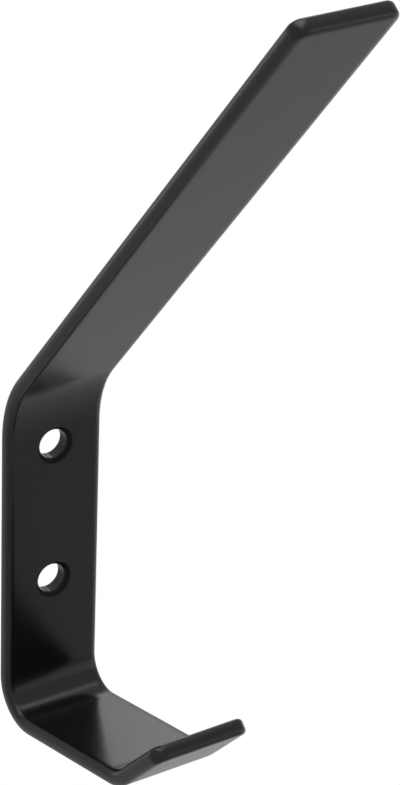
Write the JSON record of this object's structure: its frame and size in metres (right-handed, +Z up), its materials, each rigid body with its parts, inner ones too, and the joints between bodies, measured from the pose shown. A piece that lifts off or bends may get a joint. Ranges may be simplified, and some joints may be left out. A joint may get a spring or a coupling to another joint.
{
  "type": "coat hook",
  "caption": "Wall hook bent from flat bar: a long upper arm leans out from a flat plate with countersunk screw holes, and a short lower arm turns up into a lip.",
  "frame": {"origin": "on the back face of the plate, in the plane of the wall, midway between the two screw holes", "axes": "+Z up, +Y into the wall, so the arms stand out towards -Y, +X to the right for someone who faces the wall"},
  "size_m": [0.02, 0.0832, 0.1649],
  "materials": {
    "black_coating": "satin"
  },
  "bodies": {
    "root": {"coat_hook": "black_coating"}
  },
  "joints": []
}
